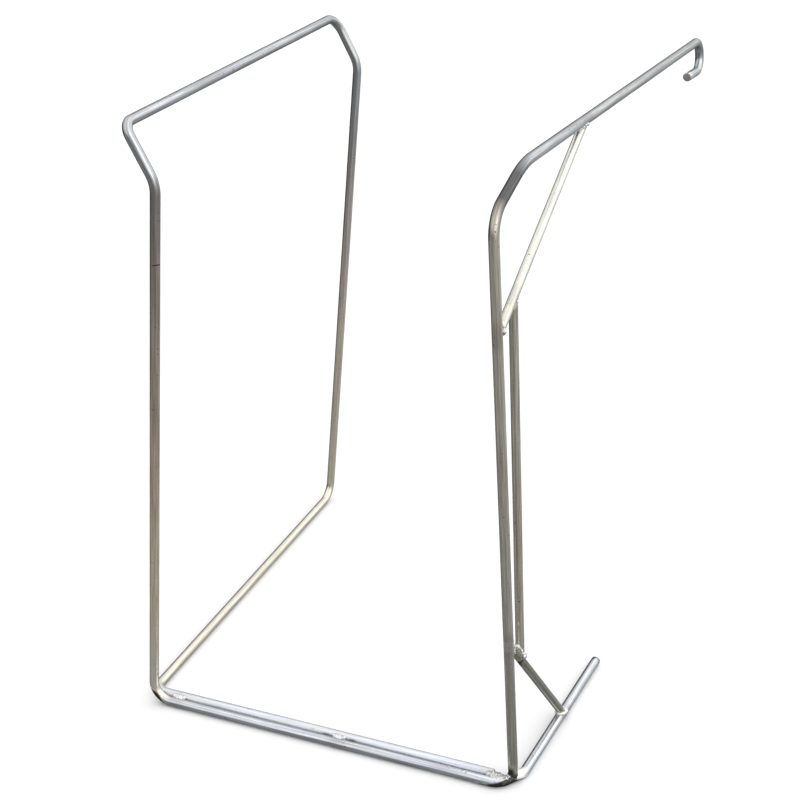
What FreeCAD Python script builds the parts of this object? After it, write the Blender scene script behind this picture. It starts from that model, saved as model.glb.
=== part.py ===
import FreeCAD, Part
import math
import os

# Welded wire frame rest.  One long rod is bent into a side loop and a doubled bottom run,
# a second rod makes the main upright with its long arm and hook, and three thinner rods
# brace the upright.  Every rod is one piece and every weld bead is one piece.
# Millimetres.  +X runs along the bottom run from the loop to the arm side, +Y runs along the
# arm towards its hook, +Z is up.  The origin is on the floor under the middle of the frame.

SIZES = {
    # wire
    "rod_radius": 4.0,
    "brace_radius": 3.5,
    # bottom run, its cut corner, and the lean of both sides towards each other
    "run_length": 320.0,
    "run_spacing": 9.6,
    "inner_run_stop": 20.0,
    "corner_cut_run": 13.0,
    "corner_cut_foot": 20.0,
    "loop_lean": 3.8,
    "arm_lean": 3.7,
    # side loop
    "loop_rise": 454.0,
    "loop_tilt": 12.0,
    "crank_out": 22.5,
    "crank_rise": 42.0,
    "loop_depth_low": 372.0,
    "loop_depth_top": 378.0,
    "loop_tuck": 5.0,
    # main upright, arm and foot
    "arm_splay": 5.0,
    "upright_rise": 462.0,
    "upright_seat": 3.0,
    "upright_seat_share": 0.58,
    "shoulder_reach": 55.6,
    "shoulder_rise": 21.6,
    "arm_reach": 421.5,
    "arm_fall": 3.0,
    "foot_reach": 188.0,
    # hook
    "hook_drop": 26.5,
    "hook_skew": 1.2,
    "hook_return": 40.0,
    "hook_lift": 2.0,
    # braces
    "upper_brace_height": 376.0,
    "upper_brace_share": 0.287,
    "lower_brace_height": 125.0,
    "lower_brace_reach": 105.0,
    "post_top_share": 0.168,
    "post_low_share": 0.2,
    # bend radii on the rod axis
    "corner_bend": 16.0,
    "cut_bend": 14.0,
    "near_bar_bend": 10.0,
    "crank_bend": 30.0,
    "upright_bend": 24.0,
    "shoulder_bend": 80.0,
    "hook_bend": 12.0,
    "tuck_bend": 12.0,
    # weld beads: half sizes along, across and through the joint
    "tack_long": 6.0,
    "tack_wide": 3.2,
    "tack_high": 2.4,
    "joint_bead": 4.6,
    "foot_bead": 5.4,
    # weld beads: places along the run, and shares of the rod radius or of a half size
    "first_tack_share": 0.067,
    "middle_tack_share": 0.528,
    "tack_seat": 0.6,
    "end_tack_scale": 1.5,
    "foot_bead_nudge": 0.6,
    "foot_bead_squash": 0.7,
    "joint_bead_stretch": 1.2,
    "joint_bead_squash": 0.9,
}

UP = FreeCAD.Vector(0, 0, 1)
MAX_STEP_NAME = 60

doc = FreeCAD.newDocument("frame_rest")
sheet = doc.addObject("Spreadsheet::Sheet", "Sizes")
nodes = []


def fill_sheet():
    """Write every driving size as a plain number with its own alias."""
    for row, (alias, value) in enumerate(SIZES.items(), start=1):
        sheet.set("A%d" % row, alias)
        sheet.set("B%d" % row, repr(value))
        sheet.setAlias("B%d" % row, alias)
    doc.recompute()


def size(alias):
    """Read one driving size back from the sheet."""
    return float(sheet.get(alias))


def bind(obj, prop, formula):
    """Bind a property to sheet cells; each alias in the formula is written {alias}."""
    aliases = {alias: "Sizes." + alias for alias in SIZES}
    obj.setExpression(prop, formula.format(**aliases))


def between(start, end, share):
    """The point at a share of the way from one point to another."""
    return start + (end - start) * share


def layout():
    """Corner points of the rod axes, with the origin under the middle of the frame."""
    loop_lean = math.tan(math.radians(size("loop_lean")))
    arm_lean = math.tan(math.radians(size("arm_lean")))
    splay = math.radians(size("arm_splay"))
    rod = size("rod_radius")
    along = FreeCAD.Vector(math.sin(splay), math.cos(splay), 0)
    across = FreeCAD.Vector(math.cos(splay), -math.sin(splay), 0)
    lean_in = FreeCAD.Vector(-arm_lean, 0, 1)
    crank = FreeCAD.Vector(-size("crank_out"), 0, size("crank_rise"))

    p = {"along": along, "lean_in": lean_in}
    p["run_left"] = FreeCAD.Vector(0, 0, 0)
    p["run_right"] = FreeCAD.Vector(size("run_length"), 0, 0)
    p["foot_end"] = p["run_right"] + along * size("foot_reach")
    p["loop_near"] = FreeCAD.Vector(size("loop_rise") * loop_lean, size("loop_tilt"), size("loop_rise"))
    p["bar_near"] = p["loop_near"] + crank
    p["bar_far"] = p["bar_near"] + FreeCAD.Vector(0, size("loop_depth_top"), 0)
    p["loop_far"] = p["bar_far"] - crank
    p["loop_back"] = FreeCAD.Vector(0, size("loop_depth_low"), 0)
    p["tuck"] = FreeCAD.Vector(-size("loop_tuck"), size("run_spacing"), 0)
    p["inner_end"] = p["run_right"] + FreeCAD.Vector(-size("inner_run_stop"), size("run_spacing"), 0)

    p["cut_run"] = p["run_right"] - FreeCAD.Vector(size("corner_cut_run"), 0, 0)
    p["cut_foot"] = p["run_right"] + along * size("corner_cut_foot")
    p["upright_base"] = between(p["cut_run"], p["cut_foot"], size("upright_seat_share"))
    p["upright_foot"] = p["upright_base"] + lean_in * size("upright_seat")
    p["upright_top"] = p["upright_base"] + lean_in * size("upright_rise")
    p["shoulder"] = p["upright_top"] + along * size("shoulder_reach") + lean_in * size("shoulder_rise")
    p["hook_top"] = p["shoulder"] + along * size("arm_reach") - lean_in * size("arm_fall")
    p["hook_low"] = p["hook_top"] - lean_in * size("hook_drop") + across * size("hook_skew")
    p["hook_tip"] = p["hook_low"] - along * size("hook_return") + lean_in * size("hook_lift")

    p["upper_low"] = p["upright_base"] + lean_in * size("upper_brace_height")
    p["upper_high"] = between(p["shoulder"], p["hook_top"], size("upper_brace_share"))
    p["lower_high"] = p["upright_base"] + lean_in * size("lower_brace_height")
    p["lower_low"] = p["run_right"] + along * size("lower_brace_reach")
    p["post_high"] = between(p["upper_low"], p["upper_high"], size("post_top_share"))
    p["post_low"] = between(p["lower_high"], p["lower_low"], size("post_low_share"))

    left = -size("loop_tuck") - rod
    right = p["foot_end"].x + rod * math.cos(splay)
    back = p["hook_top"].y + rod
    shift = FreeCAD.Vector(-(left + right) / 2, -(back - rod) / 2, rod)
    for name in p:
        if name not in ("along", "lean_in"):
            p[name] = p[name] + shift
    return p


def bent_path(points, radii):
    """A wire through the corner points, each inner corner rounded to its bend radius."""
    edges = []
    start = points[0]
    for before, corner, after, radius in zip(points, points[1:], points[2:], radii):
        back = (before - corner).normalize()
        ahead = (after - corner).normalize()
        half_angle = back.getAngle(ahead) / 2
        tangent = radius / math.tan(half_angle)
        bisector = (back + ahead).normalize()
        middle = corner + bisector * (radius / math.sin(half_angle) - radius)
        first = corner + back * tangent
        last = corner + ahead * tangent
        edges.append(Part.makeLine(start, first))
        edges.append(Part.Arc(first, middle, last).toShape())
        start = last
    edges.append(Part.makeLine(start, points[-1]))
    return Part.Wire(edges)


def facing(direction):
    """The turn that takes +Z to a direction."""
    return FreeCAD.Rotation(UP, direction)


def add_node(obj, label):
    """Name a finished sub-part; its label is also its file name."""
    obj.Label = label
    nodes.append(obj)
    return obj


def bent_rod(label, points, radii):
    """One round rod swept along a bent path."""
    path = doc.addObject("Part::Feature", label + "_path")
    path.Shape = bent_path(points, radii)
    section = doc.addObject("Part::Circle", label + "_section")
    bind(section, "Radius", "{rod_radius}")
    section.Placement = FreeCAD.Placement(points[0], facing(points[1] - points[0]))
    rod = doc.addObject("Part::Sweep", label)
    rod.Sections = [section]
    rod.Spine = (path, ["Edge%d" % (i + 1) for i in range(len(path.Shape.Edges))])
    rod.Solid = True
    rod.Frenet = False
    return add_node(rod, label)


def straight_brace(label, start, end):
    """One straight thin rod between two end centres."""
    rod = doc.addObject("Part::Cylinder", label)
    bind(rod, "Radius", "{brace_radius}")
    rod.Height = (end - start).Length
    rod.Placement = FreeCAD.Placement(start, facing(end - start))
    return add_node(rod, label)


def trimmed(start, end, start_wall, start_axis, end_wall, end_axis):
    """Pull both ends of a brace axis back to the surface of the rods they are welded to."""
    course = (end - start).normalize()
    start_trim = start_wall / math.sin(course.getAngle(start_axis))
    end_trim = end_wall / math.sin(course.getAngle(end_axis))
    return start + course * start_trim, end - course * end_trim


def bead(label, centre, direction, half_sizes):
    """A weld bead: a lump that lies along the direction, with its three half sizes."""
    along, high, wide = half_sizes
    lump = doc.addObject("Part::Ellipsoid", label)
    bind(lump, "Radius1", along)
    bind(lump, "Radius2", high)
    bind(lump, "Radius3", wide)
    lump.Placement = FreeCAD.Placement(centre, facing(direction))
    return add_node(lump, label)


def build_rods(p):
    """The two long bent rods."""
    corner = size("corner_bend")
    crank = size("crank_bend")
    cut = size("cut_bend")
    loop_points = [p["foot_end"], p["cut_foot"], p["cut_run"], p["run_left"], p["loop_near"],
                   p["bar_near"], p["bar_far"], p["loop_far"], p["loop_back"], p["tuck"],
                   p["inner_end"]]
    loop_bends = [cut, cut, corner, crank, size("near_bar_bend"), corner, crank, corner,
                  size("tuck_bend")]
    bent_rod("side_loop_rod", loop_points, loop_bends)

    arm_points = [p["upright_foot"], p["upright_top"], p["shoulder"], p["hook_top"],
                  p["hook_low"], p["hook_tip"]]
    arm_bends = [size("upright_bend"), size("shoulder_bend"), size("hook_bend"), size("hook_bend")]
    bent_rod("hook_arm_rod", arm_points, arm_bends)


def build_braces(p):
    """The three thin rods; their ends stop at the surface of the rods they meet."""
    rod = size("rod_radius")
    thin = size("brace_radius")
    upright = p["lean_in"]
    arm = p["hook_top"] - p["shoulder"]
    upper = trimmed(p["upper_low"], p["upper_high"], rod, upright, rod, arm)
    straight_brace("upper_brace", *upper)
    lower = trimmed(p["lower_high"], p["lower_low"], rod, upright, rod, p["along"])
    straight_brace("lower_brace", *lower)
    post = trimmed(p["post_low"], p["post_high"], thin, p["lower_low"] - p["lower_high"],
                   thin, p["upper_high"] - p["upper_low"])
    straight_brace("second_upright", *post)
    return {"upper": upper, "lower": lower, "post": post}


def build_beads(p, ends):
    """Weld beads: tacks in the groove of the bottom run, lumps at every rod joint."""
    rod = size("rod_radius")
    half_gap = size("run_spacing") / 2
    tack_rise = rod * size("tack_seat")
    groove = FreeCAD.Vector(0, half_gap, tack_rise)
    run_way = p["run_right"] - p["run_left"]
    tack = ("{tack_long}", "{tack_high}", "{tack_wide}")
    end_tack = ("{tack_long} * {end_tack_scale}", "{tack_high}", "{tack_wide} * {end_tack_scale}")
    first = p["run_left"] + run_way * size("first_tack_share")
    middle = p["run_left"] + run_way * size("middle_tack_share")
    last = p["inner_end"] + FreeCAD.Vector(rod, -half_gap, tack_rise)
    bead("weld_run_left", first + groove, run_way, tack)
    bead("weld_run_middle", middle + groove, run_way, tack)
    bead("weld_run_right", last, run_way, end_tack)

    nudge = rod * size("foot_bead_nudge")
    foot = p["upright_foot"] - FreeCAD.Vector(0, nudge, nudge)
    bead("weld_upright_foot", foot, UP, ("{foot_bead} * {foot_bead_squash}", "{foot_bead}", "{foot_bead}"))
    joints = [
        ("weld_upper_brace_arm", ends["upper"][1], p["hook_top"] - p["shoulder"]),
        ("weld_upper_brace_upright", ends["upper"][0], p["lean_in"]),
        ("weld_second_upright_top", ends["post"][1], p["upper_high"] - p["upper_low"]),
        ("weld_second_upright_foot", ends["post"][0], p["lower_low"] - p["lower_high"]),
        ("weld_lower_brace_upright", ends["lower"][0], p["lean_in"]),
        ("weld_lower_brace_foot", ends["lower"][1], p["along"]),
    ]
    lump = ("{joint_bead} * {joint_bead_stretch}", "{joint_bead}", "{joint_bead} * {joint_bead_squash}")
    for label, centre, direction in joints:
        bead(label, centre, direction, lump)


def check_document():
    """Stop if any object failed or any sub-part isn't a sound solid."""
    for obj in doc.Objects:
        if "Invalid" in obj.State or "Error" in obj.State:
            raise RuntimeError("%s did not compute" % obj.Label)
    for obj in nodes:
        if obj.Shape.isNull() or not obj.Shape.isValid() or len(obj.Shape.Solids) != 1:
            raise RuntimeError("%s is not one sound solid" % obj.Label)
        if len(obj.Label) >= MAX_STEP_NAME:
            raise RuntimeError("%s has too long a name" % obj.Label)


def export_nodes():
    """Write one STEP file for each sub-part."""
    os.makedirs("parts", exist_ok=True)
    for obj in nodes:
        obj.Shape.exportStep("parts/%s.step" % obj.Label)


fill_sheet()
points = layout()
build_rods(points)
brace_ends = build_braces(points)
build_beads(points, brace_ends)
doc.recompute()
check_document()
export_nodes()
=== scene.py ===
import math
import random

import bmesh
import bpy
from mathutils import Matrix, Vector, noise


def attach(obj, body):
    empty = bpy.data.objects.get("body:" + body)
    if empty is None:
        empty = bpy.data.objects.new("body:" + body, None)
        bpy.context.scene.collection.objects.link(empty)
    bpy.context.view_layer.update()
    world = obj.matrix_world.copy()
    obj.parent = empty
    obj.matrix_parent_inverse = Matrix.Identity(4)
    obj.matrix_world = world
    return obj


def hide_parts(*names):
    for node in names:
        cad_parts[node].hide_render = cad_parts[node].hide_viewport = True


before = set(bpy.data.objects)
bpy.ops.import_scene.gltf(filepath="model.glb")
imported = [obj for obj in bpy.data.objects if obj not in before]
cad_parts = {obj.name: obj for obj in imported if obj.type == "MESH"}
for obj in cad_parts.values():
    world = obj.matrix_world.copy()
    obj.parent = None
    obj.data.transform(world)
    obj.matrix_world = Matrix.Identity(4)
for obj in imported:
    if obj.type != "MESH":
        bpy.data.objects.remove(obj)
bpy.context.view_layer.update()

# ---------------------------------------------------------------------------
# Sizes of the welded rod frame, in metres, with the same layout as the CAD
# ---------------------------------------------------------------------------
MM = 0.001
# Radii of the long rods and of the braces
ROD = 4.0 * MM
THIN = 3.5 * MM

# Bottom run, its cut corner at the right, and the leans of both sides
RUN_LENGTH = 320.0 * MM
RUN_SPACING = 9.6 * MM
INNER_RUN_STOP = 20.0 * MM
CORNER_CUT_RUN = 13.0 * MM
CORNER_CUT_FOOT = 20.0 * MM
LOOP_LEAN = math.radians(3.8)
ARM_LEAN = math.radians(3.7)
ARM_SPLAY = math.radians(5.0)

# Side loop
LOOP_RISE = 454.0 * MM
LOOP_TILT = 12.0 * MM
CRANK_OUT = 22.5 * MM
CRANK_RISE = 42.0 * MM
LOOP_DEPTH_LOW = 372.0 * MM
LOOP_DEPTH_TOP = 378.0 * MM
LOOP_TUCK = 5.0 * MM

# Main upright, shoulder, arm, hook and foot
UPRIGHT_RISE = 462.0 * MM
UPRIGHT_SEAT = 3.0 * MM
UPRIGHT_SEAT_SHARE = 0.58
SHOULDER_REACH = 55.6 * MM
SHOULDER_RISE = 21.6 * MM
ARM_REACH = 421.5 * MM
ARM_FALL = 3.0 * MM
FOOT_REACH = 188.0 * MM
HOOK_DROP = 26.5 * MM
HOOK_SKEW = 1.2 * MM
HOOK_RETURN = 40.0 * MM
HOOK_LIFT = 2.0 * MM

# Braces
UPPER_BRACE_HEIGHT = 376.0 * MM
UPPER_BRACE_SHARE = 0.287
LOWER_BRACE_HEIGHT = 125.0 * MM
LOWER_BRACE_REACH = 105.0 * MM
POST_TOP_SHARE = 0.168
POST_LOW_SHARE = 0.2

# Bend radii on the rod's axis
CORNER_BEND = 16.0 * MM
CUT_BEND = 14.0 * MM
NEAR_BAR_BEND = 10.0 * MM
CRANK_BEND = 30.0 * MM
UPRIGHT_BEND = 24.0 * MM
SHOULDER_BEND = 80.0 * MM
HOOK_BEND = 12.0 * MM
TUCK_BEND = 12.0 * MM

# Mesh detail
RING_POINTS = 32
RUN_STEP = 6.0 * MM
BEND_STEPS = 16
BEND_FLATTENING = 0.035
END_CHAMFER = 0.55 * MM
END_DISH = 0.25 * MM
DISH_SHARE = 0.4
# The drawn rod wavers in a long and a short wave, in radians per metre
WAVER = 0.05 * MM
LONG_WAVE = 55
SHORT_WAVE = 190
# Keeps the wavering skin inside the rod's true radius
SKIN_GAP = 0.02 * MM
BRACE_SINK = 1.5 * MM
# A rod steeper than this starts its side vectors from Y, not from up
STEEP = 0.8

# Weld beads: their skin. Pairs are the least and most of a random share, or of millimetres for
# the drops thrown off and for strays.
BEAD_VOXEL = 0.28 * MM
BEAD_SOFTENING = 2
BEAD_RIPPLE = 0.35 * MM
BEAD_PIT = 0.12 * MM
RIPPLES_PER_METRE = 520
PITS_PER_METRE = 1500
NOISE_PLACE = (7.3, 3.1, 5.7)
# Fillets round the foot of a brace: lumps in a ring, a few larger ones on top, and drops thrown off
BEAD_GIRTH = 1.7 * MM
FILLET_BLOBS = 18
FILLET_GIRTHS = (0.75, 1.25)
FILLET_LENGTHS = (0.9, 1.3)
FILLET_HEIGHTS = (0.8, 1.1)
FILLET_OUTSET = 0.1
BUILD_UP_LUMPS = 4
BUILD_UP_GIRTHS = (1.1, 1.5)
BUILD_UP_HEIGHT = 0.8
BUILD_UP_OUTSET = 0.3
SPATTER = 5
SPATTER_GIRTHS = (0.35, 0.6)
SPATTER_CLIMB = (2.0, 4.5)
# How far up the thin rod two of the fillets lie
FILLET_SLIDE = 3.0 * MM
# Tacks in the groove of the doubled run
TACK_LONG = 6.0 * MM
TACK_WIDE = 3.2 * MM
TACK_HIGH = 2.4 * MM
TACK_RISE = 2.4 * MM
FIRST_TACK = 0.067
MIDDLE_TACK = 0.528
END_TACK_SCALE = 1.5
TACK_PUDDLES = 6
TACK_REACH = 1.5
PUDDLE_LENGTH = 0.28
PUDDLE_WIDTHS = (0.85, 1.15)
PUDDLE_HEIGHTS = (0.9, 1.15)
PUDDLE_SIDE_STRAY = (-0.35, 0.35)
PUDDLE_RISE_STRAY = (-0.15, 0.25)
TACK_SPATTER_GIRTHS = (0.3, 0.55)
TACK_SPATTER_REACH = 1.7
TACK_SPATTER_SIDE = (2.6, 3.8)
TACK_SPATTER_RISE = 0.35
# Weld at the foot of the main upright: a ring of lumps, a core, and a run that trails off
FOOT_LUMPS = 12
FOOT_LUMP_GIRTHS = (0.65, 0.95)
FOOT_LUMP_OUTSET = 0.8
FOOT_LUMP_STRAY = (-1.0, 1.0)
FOOT_RUNS = 7
FOOT_RUN_GIRTHS = (1.1, 1.4)
FOOT_RUN_OUTSET = 0.55
FOOT_RUN_DROPS = (0.35, 0.6)
FOOT_TRAIL = 11.0 * MM
FOOT_CORE = 0.8
FOOT_CORE_HEIGHT = 0.5
LUMP_LENGTH = 1.2

# Reach of the heat colours and of the soot with painted underside shade, round each weld and at the left
# corner; at the upright's foot the long reach paints the shade under the cut corner
TACK_REACHES = (9.0 * MM, 4.0 * MM)
END_TACK_REACHES = (8.0 * MM, 5.0 * MM)
FOOT_REACHES = (5.0 * MM, 18.0 * MM)
LEFT_CORNER_REACHES = (5.0 * MM, 11.0 * MM)
BRACE_REACHES = (12.0 * MM, 5.0 * MM)
# Where along the cut the heat and the painted shade under the corner are centred, and the offset from the
# left corner of its soot with painted shade
FOOT_SPOT_SHARE = 0.15
LEFT_CORNER_SPOT = Vector((0.7, -0.7, 0.7)) * ROD
# Painted shade in the groove on both sides of the middle tack, and a dark mark on the front upright and on
# the side bar
GROOVE_SHADE_SIZE = (7.0 * MM, 1.7 * MM, 2.6 * MM)
GROOVE_SHADE_BEFORE = 12.0 * MM
GROOVE_SHADE_AFTER = 11.0 * MM
GROOVE_SHADE_RISE = 0.6
UPRIGHT_MARK_SIZE = (4.0 * MM, 5.0 * MM, 0.8 * MM)
UPRIGHT_MARK_SHARE = 0.865
UPRIGHT_MARK_SIDE = Vector((3.0, -3.0, 0.0)) * MM
BAR_MARK_SIZE = (3.0 * MM, 1.0 * MM, 2.0 * MM)
BAR_MARK_SHARE = 0.565
BAR_MARK_SIDE = Vector((-1.5, 0, 3.5)) * MM

# Tints of the wire's bare grey: partly the wire's own tone, partly painted reflection, the colour and
# brightness that each run mirrors
COOL = (1.05, 1.10, 1.20)
BRIGHT = (1.70, 1.70, 1.70)
PLAIN = (0.80, 0.85, 0.90)
DIM = (0.65, 0.70, 0.70)
DUSKY = (0.65, 0.60, 0.55)
NEAR_BLACK = (0.15, 0.15, 0.15)
STRAW = (2.05, 1.65, 1.30)
LIGHT_STRAW = (1.15, 1.10, 0.95)
IVORY = (1.20, 1.20, 1.10)
OLIVE = (0.80, 0.80, 0.70)
KHAKI = (0.90, 0.90, 0.80)
TAWNY = (1.35, 1.25, 1.10)
# Each straight run along a rod in turn: tint at its start, tint at its end, dull pale oxide. The bright
# start of the cut corner is a painted highlight, and the shoulder run is tinted near black.
LOOP_TINTS = [(COOL, COOL, 0.1), (BRIGHT, COOL, 0.9), (COOL, COOL, 0.0), (STRAW, DUSKY, 0.0),
               (PLAIN, PLAIN, 0.0), (PLAIN, PLAIN, 0.0), (DIM, DIM, 0.0), (PLAIN, STRAW, 0.0),
               (LIGHT_STRAW, LIGHT_STRAW, 0.2), (COOL, COOL, 0.5)]
ARM_TINTS = [(KHAKI, TAWNY, 0.0), (NEAR_BLACK, NEAR_BLACK, 0.0), (PLAIN, DIM, 0.0), (DIM, PLAIN, 0.0),
              (PLAIN, COOL, 0.0)]
UPPER_TINTS = [(IVORY, IVORY, 0.3)]
POST_TINTS = [(LIGHT_STRAW, LIGHT_STRAW, 0.0)]
LOWER_TINTS = [(OLIVE, OLIVE, 0.0)]

# Bare wire: colours of its streaks, and the roughness of the bright and the dull ones
WIRE_DULL = (0.45, 0.45, 0.45)
WIRE_BRIGHT = (0.84, 0.84, 0.84)
WIRE_SMOOTH = 0.10
WIRE_ROUGH = 0.24
WIRE_SPECULAR = 0.1
# Noise on the wire: scale around it, scale along it, place in the noise, detail, roughness, warp
WIRE_NOISE = {
    "streak": (3.2, 14.0, 0, 4.0, 0.6, 0.0),
    "fine": (13.0, 42.0, 9, 3.0, 0.6, 0.0),
    "blotch": (0.9, 38.0, 21, 4.0, 0.6, 0.4),
    "tick": (1.6, 620.0, 33, 1.0, 0.5, 0.0),
    "tick_patch": (1.1, 24.0, 47, 1.0, 0.5, 0.0),
    "speck": (5.0, 900.0, 58, 2.0, 0.5, 0.0),
    "drift": (2.1, 9.0, 71, 3.0, 0.5, 0.0),
}
NOISE_WAY = (1.0, 0.7, 1.3)
# Noise levels between which each pattern comes in
SHADE_EDGES = (0.40, 0.60)
STAIN_EDGES = (0.45, 0.72)
FINE_EDGES = (0.35, 0.65)
DRIFT_EDGES = (0.4, 0.6)
TICK_EDGES = (0.66, 0.74)
TICK_PATCH_EDGES = (0.52, 0.62)
SPECK_EDGES = (0.70, 0.80)
HEAT_EDGES = (0.05, 0.6)
MARK_EDGES = (1.15, 1.5)
MARK_RAGGEDNESS = 0.9
STREAK_SHARE = 0.6
FINE_SHARE = 0.4
# Colours laid over the wire, and how strongly
TINT_STRENGTH = (0.9, 1.0)
STAIN_TINT = (0.86, 0.83, 0.78)
STAIN_STRENGTH = 0.30
PALE_TINT = (0.85, 0.85, 0.86)
PALE_STRENGTH = 0.8
PALE_MATT = 0.55
# Soot with painted shade: near the welds the wire goes near black, from the underside up
SOOT_AND_SHADE_COLOUR = (0.02, 0.018, 0.016)
SOOT_AND_SHADE_CONTRAST = 4.0
SOOT_AND_SHADE_LOW = -0.8
SOOT_AND_SHADE_CLIMB = 1.7
DRIFT_WARM = (1.0, 0.97, 0.92)
DRIFT_COOL = (0.96, 0.98, 1.0)
# The mark colour also paints the shade in the groove beside the middle tack
MARK_COLOUR = (0.05, 0.045, 0.04)
MARK_STRENGTH = 0.8
SPECK_STRENGTH = 0.6
HEAT_STRENGTH = 0.35
HEAT_BLOTCH = 0.5
HEAT_COLOURS = [(0.0, (1.0, 1.0, 1.0)), (0.3, (0.95, 0.86, 0.68)), (0.55, (0.68, 0.57, 0.47)),
                (0.8, (0.50, 0.50, 0.53)), (1.0, (0.40, 0.39, 0.38))]
# Roughness that each of them adds
ADDED_ROUGHNESS = {"stain": 0.07, "pale": 0.12, "soot_and_shade": 0.4, "heat": 0.14, "marks": 0.2}
# Relief of the wire, as (depth, strength)
FINE_RELIEF = (0.09 * MM, 0.5)
STREAK_RELIEF = (0.22 * MM, 0.45)
MARK_RELIEF = (0.12 * MM, 0.7)

# Cut ends of the rods
DRAG_SCALE = (3200, 900, 600)
DRAG_DULL = (0.34, 0.33, 0.31)
DRAG_BRIGHT = (0.66, 0.65, 0.62)
DRAG_RELIEF = (0.2 * MM, 0.8)
RUST_SCALE = 2600.0
RUST_EDGES = (0.55, 0.7)
RUST_COLOUR = (0.20, 0.13, 0.09)

# Weld metal: dull colour, bright colour, and the noise level at which slag begins
BRIGHT_WELD = ((0.70, 0.71, 0.73), (0.97, 0.98, 0.98), 0.60)
SPECKLED_WELD = ((0.60, 0.61, 0.62), (0.95, 0.96, 0.96), 0.51)
# The near-black weld at the upright's foot: partly soot, partly painted shade under the cut corner
SOOTY_SHADED_WELD = ((0.03, 0.03, 0.03), (0.16, 0.155, 0.15), 0.46)
WELD_METALLIC = 0.9
CLOUD_SCALE = 320.0
SLAG_SCALE = 1100.0
GRIT_SCALE = 3200.0
STRAW_EDGES = (0.55, 0.72)
STRAW_STRENGTH = 0.35
STRAW_STAIN = (0.62, 0.52, 0.38)
SLAG_BAND = 0.08
SLAG_STRENGTH = 0.85
SLAG_COLOUR = (0.07, 0.065, 0.06)
SLAG_ROUGHNESS = 0.35
SLAG_RELIEF = (0.3 * MM, 0.6)
GRIT_RELIEF = (0.08 * MM, 0.5)

# Surroundings that the metal mirrors, as (height of the direction, brightness): dim floor, bright ceiling
SURROUNDINGS = [(-1.0, 0.20), (-0.5, 0.30), (-0.1, 0.25), (0.1, 0.50), (0.4, 1.05), (1.0, 1.25)]
# Soft areas in them, as (direction, brightness added): two windows, then the dim parts of the room
AREAS = [
    ((0.8, -0.4, 0.4), 0.8),
    ((0.6, 0.8, 0.2), 0.6),
    ((-0.5, 0.8, 0.3), -0.3),
    ((0.3, -0.8, 0.5), -0.3),
    ((-1.0, 0.0, 0.3), -0.4),
    ((-0.6, 0.8, -0.1), -0.3),
]
AREA_TIGHTNESS = 7.0
DARKEST = 0.02
BACKDROP = (1.0, 1.0, 1.0)
WORLD_STRENGTH = 1.0
FLOOR_RADIUS = 30.0
FLOOR_SIDES = 96
FLOOR_CLOUD_SCALE = 3.0
FLOOR_COLOURS = ((0.90, 0.90, 0.90), (0.92, 0.92, 0.92))
FLOOR_ROUGHNESS = (0.8, 0.9)
FLOOR_SPECULAR = 0.1
# Lights: name, place, aim, width, height, power, colour
LIGHTS = [
    ("overhead_softbox", (-0.3, 0.1, 2.7), (0, 0, 0.2), 2.6, 2.6, 8.0, (1.0, 1.0, 1.0)),
    ("side_softbox", (2.4, -1.1, 0.95), (0, 0, 0.3), 1.4, 1.1, 3.0, (1.0, 1.0, 1.0)),
]

# Camera: its place, then its angles in degrees, and its lens and sensor in millimetres
CAMERA_PLACE = Vector((0.416, -1.163, 0.809))
CAMERA_YAW = 20.84
CAMERA_PITCH = -26.20
CAMERA_ROLL = 0.19
CAMERA_LENS = 69.54
CAMERA_SENSOR = 36.0
CAMERA_SHIFT = (-0.0127, 0.0022)

UP = Vector((0, 0, 1))
ORIGIN = Vector((0, 0, 0))


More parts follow.
